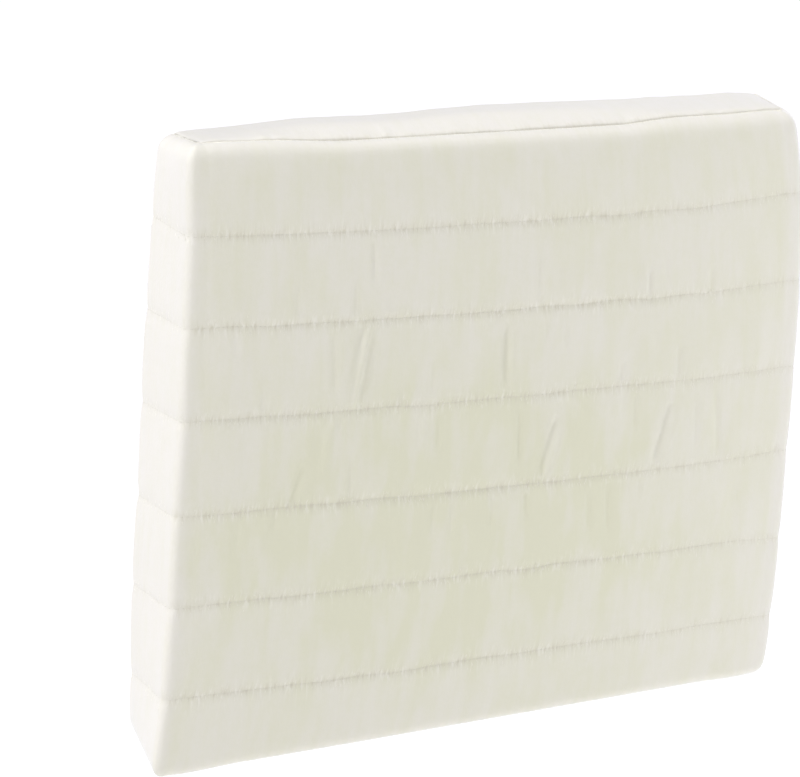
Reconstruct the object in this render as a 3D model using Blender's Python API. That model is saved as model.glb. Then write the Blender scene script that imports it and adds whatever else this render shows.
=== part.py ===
"""Quilted air conditioner cover: a shallow box of padded plush cloth, open at the back.

The front panel and both side walls are one length of cloth, quilted with six level rows of
stitching. Its upper and lower edges roll over and are sewn to the top wall and the bottom wall,
two padded strips. The cover is modelled as it sits when it is pulled over what it protects,
with its edges a little out of true.

Units are metres: +X to the right, +Y to the open back, +Z up. The origin is under the middle of
the top wall, where the cover hangs on what it is fitted over.
"""

import bmesh
import bpy
import numpy as np

for leftover in list(bpy.data.objects):
    bpy.data.objects.remove(leftover)

MM = 0.001

# Outside sizes, taken at the stitching, where the cloth is drawn in
WIDTH = 560 * MM
DEPTH = 71 * MM
CORNER_RADIUS = 15 * MM
ROLL_RADIUS = 10 * MM
SEWN_GAP = 0.3 * MM

# Thickness of the padded cloth: flat under the thread, puffed out between the rows
STITCHED = 4 * MM
LINING_PUFF = 1.5 * MM
FRONT_PUFF = 5 * MM
CORNER_PUFF = 3 * MM
HEM_PUFF = 3.5 * MM
STRIP_PUFF = 4.5 * MM
PUFF_POWER = 0.55           # under 1: steep beside a seam and flat in the middle
FRONT_RUN = 60 * MM         # from an upright corner to the front's full puff
STRIP_RUN = 25 * MM         # from a strip's end seam to its full puff

# Hem: the cloth is folded in to a rounded edge
HEM_ROUND = 6 * MM
HEM_EDGE_OUT = -1.2 * MM
HEM_EDGE_IN = 2.8 * MM
HEM_WAVE = 0.8 * MM
HEM_WAVELENGTH = 170 * MM

# Heights of the top edge, the six rows of stitching and the bottom edge, and how far each is
# pulled out of true: to the right and upwards, in mm, at the front corners and at the hems
LEVEL_COLUMNS = (
    "down",
    "left_shift", "right_shift", "left_hem_shift", "right_hem_shift",
    "left_rise", "right_rise", "left_hem_rise", "right_hem_rise",
)
LEVELS = (
    (0, -1, -18, 7, -6, 1, 1, -6, 3),
    (66, 2, -4, 3, -1, 0, 0, 0, 0),
    (140, 2, 2, 1, 1, 1, -2, 0, -1),
    (214, 2, 4, 0, 2, 2, -2, 0, -1),
    (288, 0, 4, -1, 2, 2, -1, 0, 0),
    (363, -1, 4, -2, 2, 1, -2, 0, 0),
    (437, -4, 2, -1, 1, 0, 1, 0, 0),
    (491, -10, -1, 1, 0, -12, 5, 7, 5),
)
TOP = STITCHED + LINING_PUFF

# Places of the mesh lines, as fractions of a channel, of the front and of a strip
CHANNEL_STEPS = (0.05, 0.16, 0.34, 0.66, 0.84, 0.95, 1.0)
ROLLED_STEPS = (0.05, 0.16, 0.34, 0.60)
ROLL_SEGMENTS = 4
CORNER_SEGMENTS = 4
HALF_FRONT_STEPS = (0.0, 0.03, 0.09, 0.20, 0.35, 0.52, 0.69, 0.85)
WALL_STEPS = (0.0, 0.05, 0.13, 0.45, 0.80)
STRIP_STEPS = (0.0, 0.06, 0.18, 0.40, 0.66, 0.88, 0.96, 1.0)

PLUSH_COLOUR = (0.78, 0.76, 0.68, 1.0)
PLUSH_ROUGHNESS = 0.95


def level(name):
    """One column of the table of levels, in metres, from the top edge down."""
    return np.array([row[LEVEL_COLUMNS.index(name)] for row in LEVELS]) * MM


HEIGHTS = TOP - level("down")


def puff(share):
    """Share of its full thickness that padding reaches at a share of the way between seams."""
    return np.sin(np.pi * np.clip(share, 0, 1)) ** PUFF_POWER


def rise_from_seam(share):
    """Puff that grows away from one seam, and stays full after it."""
    return puff(np.clip(share, 0, 1) / 2)


def pulled(points):
    """Pulls points of a true box out of true, by the table of levels and a slack hem."""
    x, y, z = points[..., 0], points[..., 1], points[..., 2]
    to_right = x / WIDTH + 0.5
    to_hem = np.clip(y / DEPTH + 0.5, 0, 1)

    def between(left, right, left_hem, right_hem):
        corners = [np.interp(-z, -HEIGHTS, level(name)) for name in (left, right, left_hem, right_hem)]
        front = corners[0] * (1 - to_right) + corners[1] * to_right
        back = corners[2] * (1 - to_right) + corners[3] * to_right
        return front * (1 - to_hem) + back * to_hem

    shift = between("left_shift", "right_shift", "left_hem_shift", "right_hem_shift")
    rise = between("left_rise", "right_rise", "left_hem_rise", "right_hem_rise")
    slack = HEM_WAVE * np.sin(2 * np.pi * (x + z) / HEM_WAVELENGTH) * to_hem ** 2
    return np.stack([x + shift, y + slack, z + rise], axis=-1)


def plan_columns():
    """Columns of the wrap seen from above, from the left hem round the front to the right hem.

    Each has its place, its outward direction, its puff and its share of the way off the hem.
    """
    half = WIDTH / 2
    front = -DEPTH / 2
    hem = DEPTH / 2
    wall = DEPTH - CORNER_RADIUS
    steps = np.array(WALL_STEPS)
    turns = np.linspace(0, np.pi / 2, CORNER_SEGMENTS + 1)
    half_front = np.array(HALF_FRONT_STEPS)
    across = np.concatenate([half_front, [1.0], 2 - half_front[:0:-1]]) - 1
    across = across * (half - CORNER_RADIUS)

    left_wall = [(-half, hem - wall * step, -1, 0) for step in steps]
    left_corner = [
        (-half + CORNER_RADIUS * (1 - np.cos(turn)), front + CORNER_RADIUS * (1 - np.sin(turn)),
         -np.cos(turn), -np.sin(turn))
        for turn in turns
    ]
    middle = [(x, front, 0, -1) for x in across[1:]]
    left = np.array(left_wall + left_corner)
    right = left[::-1] * (-1, 1, -1, 1)
    columns = np.concatenate([left, np.array(middle), right])

    from_hem = hem - columns[:, 1]
    on_wall = np.clip(from_hem / wall, 0, 1)
    on_front = rise_from_seam((half - CORNER_RADIUS - np.abs(columns[:, 0])) / FRONT_RUN)
    thickness = HEM_PUFF + (CORNER_PUFF - HEM_PUFF) * on_wall + (FRONT_PUFF - CORNER_PUFF) * on_front
    return columns[:, :2], columns[:, 2:], thickness, rise_from_seam(from_hem / HEM_ROUND)


def rolled_channel(straight):
    """Share, inset, rise and lean up a channel that ends by rolling over to a strip's seam."""
    length = straight + ROLL_RADIUS * np.pi / 2
    roll = np.linspace(straight / length, 1, ROLL_SEGMENTS + 1)
    share = np.concatenate([ROLLED_STEPS, roll])
    lean = np.clip((share * length - straight) / ROLL_RADIUS, 0, np.pi / 2)
    rise = np.minimum(share * length, straight) + ROLL_RADIUS * np.sin(lean)
    return share, ROLL_RADIUS * (1 - np.cos(lean)), rise, lean


def channel_rows():
    """Rows of the wrap from the bottom wall's seam up to the top wall's seam.

    Each has its inset from the outside, its height, its lean and its share of the puff.
    """
    share, inset, rise, lean = rolled_channel(HEIGHTS[-2] - HEIGHTS[-1] - ROLL_RADIUS)
    rows = [np.stack([inset, HEIGHTS[-2] - rise, -lean, puff(share)], axis=1)[::-1]]
    rows.append(np.array([(0, HEIGHTS[-2], 0, 0)]))
    for low, high in zip(HEIGHTS[-2:1:-1], HEIGHTS[-3:0:-1]):
        share = np.array(CHANNEL_STEPS)
        still = np.zeros_like(share)
        rows.append(np.stack([still, low + (high - low) * share, still, puff(share)], axis=1))
    share, inset, rise, lean = rolled_channel(HEIGHTS[0] - HEIGHTS[1] - ROLL_RADIUS)
    rows.append(np.stack([inset, HEIGHTS[1] + rise, lean, puff(share)], axis=1))
    return np.concatenate(rows).T


def thick_cloth(base, outward, full, share, off_hem):
    """Outer and inner points of padded cloth on a base, thinned to a rounded edge at the hem."""
    out = HEM_EDGE_OUT + (full * share - HEM_EDGE_OUT) * off_hem
    back = HEM_EDGE_IN + (STITCHED + LINING_PUFF * share - HEM_EDGE_IN) * off_hem
    return base + outward * out[..., None], base - outward * back[..., None]


def padded_body(name, outer, inner):
    """Closed body between two grids of points: a flat slab of one layer, bent to the cloth.

    The slab is a unit square centred on the origin, with its inner side at a depth of one.
    """
    columns, rows = outer.shape[:2]
    slab = bmesh.new()
    bmesh.ops.create_grid(slab, x_segments=columns - 1, y_segments=rows - 1, size=0.5)
    copied = bmesh.ops.extrude_face_region(slab, geom=slab.faces[:], use_keep_orig=True)
    behind = [item for item in copied["geom"] if isinstance(item, bmesh.types.BMVert)]
    bmesh.ops.translate(slab, vec=(0, 0, -1), verts=behind)
    bmesh.ops.recalc_face_normals(slab, faces=slab.faces[:])
    mesh = bpy.data.meshes.new(name)
    slab.to_mesh(mesh)
    slab.free()

    place = np.empty(len(mesh.vertices) * 3, dtype=np.float32)
    mesh.vertices.foreach_get("co", place)
    place = place.reshape(-1, 3)
    column = np.rint((place[:, 0] + 0.5) * (columns - 1)).astype(int)
    row = np.rint((place[:, 1] + 0.5) * (rows - 1)).astype(int)
    is_inner = place[:, 2:] < -0.5
    points = np.where(is_inner, inner[column, row], outer[column, row])
    mesh.vertices.foreach_set("co", pulled(points).astype(np.float32).ravel())
    mesh.update()
    mesh.shade_smooth()
    return bpy.data.objects.new(name, mesh)


def front_and_sides():
    """The wrap: left wall, front panel and right wall in one quilted length."""
    place, outward, full, off_hem = plan_columns()
    inset, height, lean, share = channel_rows()
    shape = (len(place), len(height))
    direction = np.empty(shape + (3,))
    direction[..., :2] = outward[:, None, :] * np.cos(lean)[None, :, None]
    direction[..., 2] = np.sin(lean)
    base = np.empty(shape + (3,))
    base[..., :2] = place[:, None, :] - outward[:, None, :] * inset[None, :, None]
    base[..., 2] = height
    outer, inner = thick_cloth(
        base, direction,
        np.broadcast_to(full[:, None], shape),
        np.broadcast_to(share, shape),
        np.broadcast_to(off_hem[:, None], shape),
    )
    return padded_body("front_and_sides", outer, inner)


def strip(name, height, up):
    """Top or bottom wall: a padded strip inside the rolled edge of the wrap."""
    place, outward, _, _ = plan_columns()
    sewn = slice(len(WALL_STEPS), len(place) - len(WALL_STEPS))
    edge = place[sewn] - outward[sewn] * (ROLL_RADIUS + SEWN_GAP)
    steps = np.array(STRIP_STEPS)
    hem = DEPTH / 2
    shape = (len(edge), len(steps))
    base = np.empty(shape + (3,))
    base[..., 0] = edge[:, :1]
    base[..., 1] = edge[:, 1:] + (hem - edge[:, 1:]) * steps
    base[..., 2] = height
    end = np.abs(edge[0, 0])
    share = rise_from_seam(steps * 2) * rise_from_seam((end - np.abs(edge[:, :1])) / STRIP_RUN)
    off_hem = np.broadcast_to(rise_from_seam((1 - steps) * DEPTH / HEM_ROUND), shape)
    outer, inner = thick_cloth(
        base, np.array((0, 0, up)), np.full(shape, STRIP_PUFF), share, off_hem
    )
    if up < 0:
        outer, inner = outer[:, ::-1], inner[:, ::-1]
    return padded_body(name, outer, inner)


def plush():
    """Short, dull ivory pile."""
    material = bpy.data.materials.new("ivory plush")
    material.use_nodes = True
    shader = material.node_tree.nodes["Principled BSDF"]
    shader.inputs["Base Color"].default_value = PLUSH_COLOUR
    shader.inputs["Roughness"].default_value = PLUSH_ROUGHNESS
    shader.inputs["Metallic"].default_value = 0.0
    return material


cover = bpy.data.collections.new("air_conditioner_cover")
bpy.context.scene.collection.children.link(cover)
for piece in (
    front_and_sides(),
    strip("top_wall", HEIGHTS[0], 1),
    strip("bottom_wall", HEIGHTS[-1], -1),
):
    piece.data.materials.append(plush())
    cover.objects.link(piece)
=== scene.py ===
# Quilted air conditioner cover: the looks of a padded plush cover, sewn as a shallow box that is
# open at the back. Metres: +X to the right, +Y to the open back, +Z up, with the origin under the
# middle of the top wall.

import bpy
import numpy as np
from mathutils import Matrix, Vector


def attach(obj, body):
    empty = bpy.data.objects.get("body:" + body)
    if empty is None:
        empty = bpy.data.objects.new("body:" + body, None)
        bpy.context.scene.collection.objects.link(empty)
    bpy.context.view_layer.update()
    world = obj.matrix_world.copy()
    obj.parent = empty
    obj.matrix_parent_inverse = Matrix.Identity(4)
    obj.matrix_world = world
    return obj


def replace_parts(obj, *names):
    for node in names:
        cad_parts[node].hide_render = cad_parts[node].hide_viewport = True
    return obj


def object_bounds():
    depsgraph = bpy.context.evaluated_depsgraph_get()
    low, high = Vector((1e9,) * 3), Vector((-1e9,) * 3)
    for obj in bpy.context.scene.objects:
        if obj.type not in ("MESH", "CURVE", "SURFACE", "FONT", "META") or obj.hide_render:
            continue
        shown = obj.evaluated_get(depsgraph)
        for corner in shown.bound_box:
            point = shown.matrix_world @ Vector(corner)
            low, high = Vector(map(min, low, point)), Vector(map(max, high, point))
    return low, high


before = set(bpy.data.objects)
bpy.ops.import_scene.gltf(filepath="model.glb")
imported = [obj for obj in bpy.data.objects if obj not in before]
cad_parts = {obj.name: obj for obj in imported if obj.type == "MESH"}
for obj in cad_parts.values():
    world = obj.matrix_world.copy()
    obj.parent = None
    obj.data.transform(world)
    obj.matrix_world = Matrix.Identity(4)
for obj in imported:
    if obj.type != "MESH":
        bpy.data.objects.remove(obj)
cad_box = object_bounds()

MM = 0.001

# Studio. A plain pale floor well under the cover, which hangs on what it is pulled over, a broad soft
# light overhead, a softbox on each side, one behind the right edge and an even sky. The camera
# stands where the photo was taken from, to the left of the cover and above it.

VIEW_PLACE = (-1.3789, -2.3449, 0.5524)
VIEW_AZIMUTH = np.radians(-29.13)
VIEW_ELEVATION = np.radians(15.80)
VIEW_ROLL = np.radians(3.31)
FOCAL_PIXELS = 3514
PHOTO_WIDTH = 800
SENSOR_WIDTH = 36
VIEW_REACH = 200

MIDDLE_OF_COVER = -0.245  # the height that the softboxes face

FLOOR_DROP = 0.30
FLOOR_REACH = 40
FLOOR_COLOURS = ("#fcfcfb", "#f5f4f2")
FLOOR_CLOUDS = 3.0  # faint clouds in the paint, from one end of it to the other
FLOOR_GLOW = 0.08  # a studio backdrop has lights of its own

SKY_STRENGTH = 0.20
OVERHEAD_DIRECTION = (-0.365, 0.0, 0.93)
OVERHEAD_STRENGTH = 3.0
OVERHEAD_COLOUR = "#f7f6ff"
OVERHEAD_SPREAD = np.radians(50)
SOFTBOXES = (  # name, place, size, power and colour
    ("left_softbox", (-1.5, -0.70, 0.90), 1.2, 8.2, "#eff1ff"),
    ("right_softbox", (1.3, -0.50, -0.10), 0.9, 6.2, "#f6f7ff"),
    ("rim_softbox", (1.0, 0.60, 0.10), 0.7, 3.8, "#f2f4ff"),
)


def linear(colour):
    """An sRGB hex colour in linear light: ((c + 0.055) / 1.055) to the power 2.4, or c / 12.92 if dark."""
    srgb = np.array([int(colour[place:place + 2], 16) for place in (1, 3, 5)]) / 255
    light = np.where(srgb > 0.04045, ((srgb + 0.055) / 1.055) ** 2.4, srgb / 12.92)
    return (*light, 1.0)


def add_node(tree, kind, inputs=None, **settings):
    """Adds a node with its settings. An input is linked where it is given as another node's socket."""
    node = tree.nodes.new("ShaderNode" + kind)
    for name, value in settings.items():
        setattr(node, name, value)
    for name, value in (inputs or {}).items():
        if isinstance(value, bpy.types.NodeSocket):
            tree.links.new(value, node.inputs[name])
        else:
            node.inputs[name].default_value = value
    return node


def new_material(name, constants):
    """A material whose Principled shader, which every finish here ends in, has the given constants."""
    material = bpy.data.materials.new(name)
    material.use_nodes = True
    tree = material.node_tree
    shader = tree.nodes["Principled BSDF"]
    for socket, value in constants.items():
        shader.inputs[socket].default_value = value
    return material, tree, shader


def two_toned(name, constants, colours, texture, inputs, **placing):
    """A finish of two colours, shared out by a texture that is laid over Object coordinates."""
    material, tree, shader = new_material(name, constants)
    position = add_node(tree, "TexCoord").outputs["Object"]
    placed = add_node(tree, "Mapping", {"Vector": position, **placing})
    pattern = add_node(tree, texture, {"Vector": placed.outputs["Vector"], **inputs})
    tone = add_node(tree, "Mix", {
        "Factor": pattern.outputs["Fac"], "A": linear(colours[0]), "B": linear(colours[1]),
    }, data_type="RGBA")
    tree.links.new(tone.outputs["Result"], shader.inputs["Base Color"])
    return material


def show(thing):
    """Puts an object into the scene."""
    bpy.context.scene.collection.objects.link(thing)
    return thing


def place_camera():
    """The photograph's viewpoint: looks along its azimuth and elevation, rolled about that line."""
    forward = Vector((
        -np.sin(VIEW_AZIMUTH) * np.cos(VIEW_ELEVATION),
        np.cos(VIEW_AZIMUTH) * np.cos(VIEW_ELEVATION),
        -np.sin(VIEW_ELEVATION),
    ))
    level = forward.cross(Vector((0, 0, 1))).normalized()
    upright = level.cross(forward)
    across = level * np.cos(VIEW_ROLL) + upright * np.sin(VIEW_ROLL)
    above = upright * np.cos(VIEW_ROLL) - level * np.sin(VIEW_ROLL)
    turn = Matrix((across, above, -forward)).transposed()
    lens = bpy.data.cameras.new("photo_view")
    lens.sensor_width = SENSOR_WIDTH
    lens.lens = FOCAL_PIXELS / PHOTO_WIDTH * SENSOR_WIDTH
    lens.clip_end = VIEW_REACH
    camera = show(bpy.data.objects.new("photo_view", lens))
    camera.matrix_world = Matrix.Translation(VIEW_PLACE) @ turn.to_4x4()
    bpy.context.scene.camera = camera


def light_studio():
    """The broad soft light overhead, the softboxes and the even sky."""
    overhead = bpy.data.lights.new("overhead_light", "SUN")
    overhead.energy = OVERHEAD_STRENGTH
    overhead.color = linear(OVERHEAD_COLOUR)[:3]
    overhead.angle = OVERHEAD_SPREAD
    lamp = show(bpy.data.objects.new("overhead_light", overhead))
    lamp.rotation_euler = Vector(OVERHEAD_DIRECTION).to_track_quat("Z", "Y").to_euler()
    centre = Vector((0, 0, MIDDLE_OF_COVER))
    for name, place, size, power, colour in SOFTBOXES:
        softbox = bpy.data.lights.new(name, "AREA")
        softbox.shape = "DISK"
        softbox.size = size
        softbox.energy = power
        softbox.color = linear(colour)[:3]
        lamp = show(bpy.data.objects.new(name, softbox))
        lamp.location = place
        lamp.rotation_euler = (lamp.location - centre).to_track_quat("Z", "Y").to_euler()
    sky = bpy.data.worlds.new("studio sky")
    sky.use_nodes = True
    background = sky.node_tree.nodes["Background"].inputs
    background["Color"].default_value = (1, 1, 1, 1)
    background["Strength"].default_value = SKY_STRENGTH
    bpy.context.scene.world = sky
    bpy.context.scene.view_settings.view_transform = "Standard"


def lay_floor():
    """Matt white studio floor, so wide that its far edge stays above the picture."""
    level = cad_box[0][2] - FLOOR_DROP
    corners = [(x, y, level) for x, y in ((-1, -1), (1, -1), (1, 1), (-1, 1))]
    corners = [(x * FLOOR_REACH, y * FLOOR_REACH, z) for x, y, z in corners]
    mesh = bpy.data.meshes.new("studio_floor")
    mesh.from_pydata(corners, [], [(0, 1, 2, 3)])

    # Rolled emulsion paint: matt and almost even, so that only the cover draws the eye
    mesh.materials.append(two_toned(
        "matt white studio floor paint", {
            "Roughness": 0.9, "Specular IOR Level": 0.1,
            "Emission Color": (1, 1, 1, 1), "Emission Strength": FLOOR_GLOW,
        },
        FLOOR_COLOURS, "TexNoise", {"Scale": FLOOR_CLOUDS, "Detail": 3.0},
        Location=(0.5, 0.5, 0.5), Scale=(0.5 / FLOOR_REACH, 0.5 / FLOOR_REACH, 0),
    ))
    floor = show(bpy.data.objects.new("studio_floor", mesh))


place_camera()
light_studio()
lay_floor()


# Wrap. The front panel and both side walls are one length of padded ivory plush: a brushed
# polyester pile over wadding, machine quilted with six level rows of thread into seven channels.
# Its upper and lower edges roll over to the seams of the top and bottom walls. Its hem is turned in.

WIDTH = 560 * MM
DEPTH = 71 * MM
CORNER_RADIUS = 15 * MM
TIGHT_CORNERS = (7 * MM, 13 * MM)  # the pile fills the left and right front corner out to these
ROLL_RADIUS = 10 * MM

STITCHED = 4 * MM
LINING_PUFF = 1.5 * MM
FRONT_PUFF = 5 * MM
CORNER_PUFF = 3 * MM
HEM_PUFF = 3.5 * MM
PUFF_POWER = 0.55  # under 1: steep beside a seam and flat in the middle
FRONT_RUN = 60 * MM  # from an upright corner to the front's full puff

HEM_ROUND = 6 * MM
HEM_EDGE_OUT = -1.2 * MM
HEM_EDGE_IN = 2.8 * MM
HEM_WAVE = 0.8 * MM
HEM_WAVELENGTH = 170 * MM
HEM_PINCH = 2.2 * MM  # each row of stitching draws the hem in
HEM_PINCH_REACH = 7 * MM
HEM_TURN = 13 * MM  # width of the turned hem on the back, its extra thickness and its step
HEM_TURN_THICK = 1.5 * MM
HEM_TURN_STEP = 3 * MM

# Heights of the top edge, the six rows of stitching and the bottom edge, and how far each is pulled
# out of true at the front corners and at the hems, in mm to the right and upwards
LEVEL_COLUMNS = (
    "down",
    "left_shift", "right_shift", "left_hem_shift", "right_hem_shift",
    "left_rise", "right_rise", "left_hem_rise", "right_hem_rise",
)
LEVELS = (
    (0, -1, -18, 7, -6, 1, 1, -6, 3),
    (66, 2, -4, 3, -1, 0, 0, 0, 0),
    (140, 2, 2, 1, 1, 1, -2, 0, -1),
    (214, 2, 4, 0, 2, 2, -2, 0, -1),
    (288, 0, 4, -1, 2, 2, -1, 0, 0),
    (363, -1, 4, -2, 2, 1, -2, 0, 0),
    (437, -4, 2, -1, 1, 0, 1, 0, 0),
    (491, -10, -1, 1, 0, -12, 5, 7, 5),
)
TOP = STITCHED + LINING_PUFF

# The pile hides most of a seam: a narrow valley where the thread pulls it down, and a low crown
VALLEY_SHARE = 0.25
VALLEY_REACH = 4.2 * MM
VALLEY_POWER = 1.8
CROWN_SHARE = 0.20
CROWN_POWER = 2.4
FADED_FROM = 60 * MM  # seams are drawn in less towards the right of the front
FADED_TO = 260 * MM
FADED_SHARE = 0.45
WALL_SHARE = 0.25  # and hardly at all on the walls

# Places of the mesh lines: evenly along the cloth, and closer beside a seam
FRONT_COLUMNS = 372
CORNER_COLUMNS = 20
WALL_COLUMNS = 26
CORNER_CROWDING = 0.6
WALL_CROWDING = 1.15
HALF_CHANNEL_ROWS = 12
ROW_CROWDING = 1.7
INNER_COLUMN_STEP = 2  # the back is drawn with every second column and every fourth row
INNER_ROW_STEP = 4

# How far each row of stitching sags below a level line, in mm, from the top row down, at places in
# mm to the right of the middle of the front and round its corners to the hems
SAG_PLACES = (-345, -262, -190, -90, 20, 120, 180, 230, 262, 345)
SEAM_SAGS = (
    (0, 2.0, 4.5, 6.3, 6.3, 6.0, 4.8, 1.2, -0.5, 0),
    (0, 0.3, 1.9, 3.9, 3.0, 2.4, 2.0, -1.5, -3.5, 0),
    (0, -0.3, 1.7, 2.0, 2.4, 1.0, 0.4, -2.2, -3.5, 0),
    (0, 2.0, 2.4, 3.0, 4.0, 2.5, 0.9, -1.5, -4.0, 0),
    (0, -0.8, -0.7, -0.4, -0.9, -2.0, -2.6, -3.4, -2.5, 0),
    (0, -1.5, -0.8, 1.0, -1.0, -1.8, -2.6, -4.0, -4.0, 0),
)

# Creases of the front, for each channel from the top: places of the upper and lower end
# across, in mm to the right of the middle, upper and lower end as shares of the channel's height,
# and width and depth in mm. A ridge has a negative depth.
CREASE_FADE = 0.2  # share of its length over which each end of a crease fades
CREASES = {
    2: (
        (-125, -123, 0.88, 0.40, 2.6, 1.68), (-190, -189, 0.42, 0.10, 3.0, 1.23),
        (-140, -138, 0.45, 0.06, 3.0, 1.45), (-108, -107, 0.36, 0.10, 4.0, 1.01),
        (25, 27, 0.62, 0.02, 3.4, 1.74), (121, 124, 0.48, 0.02, 3.2, -1.35),
        (129, 130, 0.36, 0.02, 2.8, 1.57), (143, 146, 0.55, 0.10, 3.6, 0.89),
        (188, 189, 0.32, 0.02, 3.2, 1.45),
    ),
    3: (
        (-241, -240, 0.95, 0.70, 3.4, 0.79), (-216, -216, 0.34, 0.08, 3.0, 1.35),
        (-157, -154, 0.92, 0.20, 3.2, 1.45), (-125, -138, 1.02, -0.02, 1.9, -1.90),
        (-129, -142, 1.0, 0.30, 2.6, 0.80), (-119, -131, 0.96, 0.10, 3.6, 1.20),
        (-95, -94, 0.26, 0.02, 5.0, 1.23), (-68, -67, 0.48, 0.10, 3.2, 1.35),
        (-3, -1, 0.90, 0.04, 4.0, 2.40), (4, 6, 0.74, 0.20, 4.0, -1.01),
        (34, 34, 0.86, 0.54, 3.0, 1.35), (51, 52, 0.74, 0.52, 3.0, 1.12),
        (107, 107, 0.30, 0.06, 3.0, 1.35), (136, 138, 0.66, 0.38, 4.0, 0.79),
        (161, 163, 0.42, 0.02, 3.4, 1.57),
    ),
    4: (
        (-209, -208, 0.95, 0.64, 3.4, 0.79), (-178, -186, 0.44, 0.02, 3.2, 1.91),
        (-157, -160, 0.94, 0.38, 3.6, -1.35), (-149, -148, 0.98, 0.76, 3.0, 1.23),
        (-137, -135, 0.48, 0.02, 3.2, 1.57), (-75, -73, 0.94, 0.46, 3.8, -1.35),
        (-61, -60, 0.88, 0.50, 3.2, 1.45), (13, 16, 0.90, 0.20, 2.6, 1.57),
        (49, 36, 0.78, 0.01, 4.2, 2.50), (57, 46, 0.66, 0.10, 4.2, -1.12),
        (66, 66, 0.93, 0.50, 3.8, -1.12), (104, 105, 0.97, 0.60, 3.6, -1.12),
        (122, 123, 0.92, 0.46, 3.2, 1.45), (158, 144, 0.82, 0.04, 4.2, 2.40),
        (166, 154, 0.70, 0.14, 4.2, -1.01), (181, 184, 0.80, 0.14, 3.4, 1.45),
        (198, 207, 0.93, 0.02, 3.6, 1.57),
    ),
    5: (
        (-230, -230, 0.98, 0.54, 3.6, 0.79), (-199, -199, 0.98, 0.74, 3.0, 1.23),
        (-96, -94, 0.74, 0.22, 5.0, 1.01), (-60, -59, 0.88, 0.58, 3.0, 1.35),
        (-44, -43, 0.90, 0.56, 3.0, 1.35), (-7, -5, 0.95, 0.50, 3.2, 1.45),
        (24, 26, 0.92, 0.64, 3.0, 1.91), (83, 86, 0.88, 0.34, 3.2, 1.45),
        (102, 105, 0.95, 0.30, 3.4, 1.57), (132, 133, 0.92, 0.68, 3.0, 1.23),
    ),
}

# Unevenness of the padded and much-handled cloth
LATTICE = 256
WAVES = (  # wide, tall and high, all in mm
    (95, 60, 0.9),
    (34, 60, 0.55),
    (15, 75, 0.62),
    (9, 60, 0.24),
    (6.5, 26, 0.07),
    (4.5, 5.5, 0.06),
)
WAVES_WALL = 0.35  # their share on the walls
WAVES_CORNER = 20 * MM  # they grow to full height this far from a corner and from a seam
WAVES_SEAM = 16 * MM
RUFFLED_REACH = 115 * MM  # the middle channels are ruffled most, the outer ones by the least share
RUFFLED_LEAST = 0.4
ROLL_THIN = 0.80  # how much of the padding is squeezed out where a strip is sewn on
ROLL_THIN_REACH = 16 * MM
ROLL_THIN_CORNER = 0.4  # its share at a corner
SAG_HIGH = 3.6 * MM  # the top seam sags at the front's middle
SAG_ENDS = (-215, -140, 105, 170)  # in mm: begins, is full, is still full and ends
SAG_ROUND = 15 * MM
SAG_FROM = -40 * MM  # it fades in upwards from this height, over this much
SAG_FADE = 35 * MM
SWELLS = ((5, 95, 4.2), (-165, 65, 2.3))  # across, wide, high in mm: the top wall rides up behind it
SWELL_BACK = 30 * MM  # they are full this far behind the seam
SWELL_FROM = -20 * MM
SWELL_FADE = 15 * MM
ROLL_CORNER = 60 * MM  # that seam is lost in the pile towards the rounded corners
GATHERS = (  # wide, reach, start and high in mm, and the seed of the random draw
    (4.4, 4.5, 1.2, 0.24, 11),  # little tucks where the thread draws the pile together
    (7, 11, 2, 0.85, 12),  # longer gathers under the seam of the top wall
)
GATHER_TALL = 90 * MM
SEAM_WANDER = 0.9 * MM
SEAM_WANDER_WIDE = 34 * MM
SEAM_WANDER_TALL = 74 * MM
SEAM_STILL = 20 * MM  # it fades out this far from the rolled edges

WALL = DEPTH - CORNER_RADIUS
CORNER_ARC = CORNER_RADIUS * np.pi / 2
HALF_FRONT = WIDTH / 2 - CORNER_RADIUS
HALF_LENGTH = HALF_FRONT + CORNER_ARC + WALL


def level(name):
    """One column of the table of levels, in metres, from the top edge down."""
    return np.array([row[LEVEL_COLUMNS.index(name)] for row in LEVELS]) * MM


HEIGHTS = TOP - level("down")
ROLL_ARC = ROLL_RADIUS * np.pi / 2
HALF_STRAIGHT = (HEIGHTS[0] - HEIGHTS[-1]) / 2 - ROLL_RADIUS
MIDDLE_HEIGHT = (HEIGHTS[0] + HEIGHTS[-1]) / 2
HALF_HEIGHT = HALF_STRAIGHT + ROLL_ARC

# Seams up the cloth, measured along it from the middle height, from the bottom wall to the top wall
SEAMS = np.concatenate([[-HALF_HEIGHT], (HEIGHTS - MIDDLE_HEIGHT)[-2:0:-1], [HALF_HEIGHT]])


def puff(share):
    """Padding between two seams: the sine of the share of the way, raised to a low power."""
    return np.sin(np.pi * np.clip(share, 0, 1)) ** PUFF_POWER


def rise_from_seam(share):
    """Padding that grows away from one seam and stays full after it."""
    return puff(np.clip(share, 0, 1) / 2)


def smooth(share):
    """A soft step from 0 to 1: three times the square of the share less twice its cube."""
    share = np.clip(share, 0, 1)
    return share * share * (3 - 2 * share)


def uneven(along, up, wide, tall, seed):
    """Random smooth heights from -1 to 1: a seeded lattice of numbers, wide by tall apart, blended
    between the four that are nearest."""
    lattice = np.random.default_rng(seed).uniform(-1, 1, (LATTICE, LATTICE))
    column, row = np.floor(along / wide), np.floor(up / tall)
    right, above = smooth(along / wide - column), smooth(up / tall - row)
    column, row = column.astype(int) % LATTICE, row.astype(int) % LATTICE
    next_column, next_row = (column + 1) % LATTICE, (row + 1) % LATTICE
    low = lattice[column, row] * (1 - right) + lattice[next_column, row] * right
    high = lattice[column, next_row] * (1 - right) + lattice[next_column, next_row] * right
    return low * (1 - above) + high * above


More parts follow.
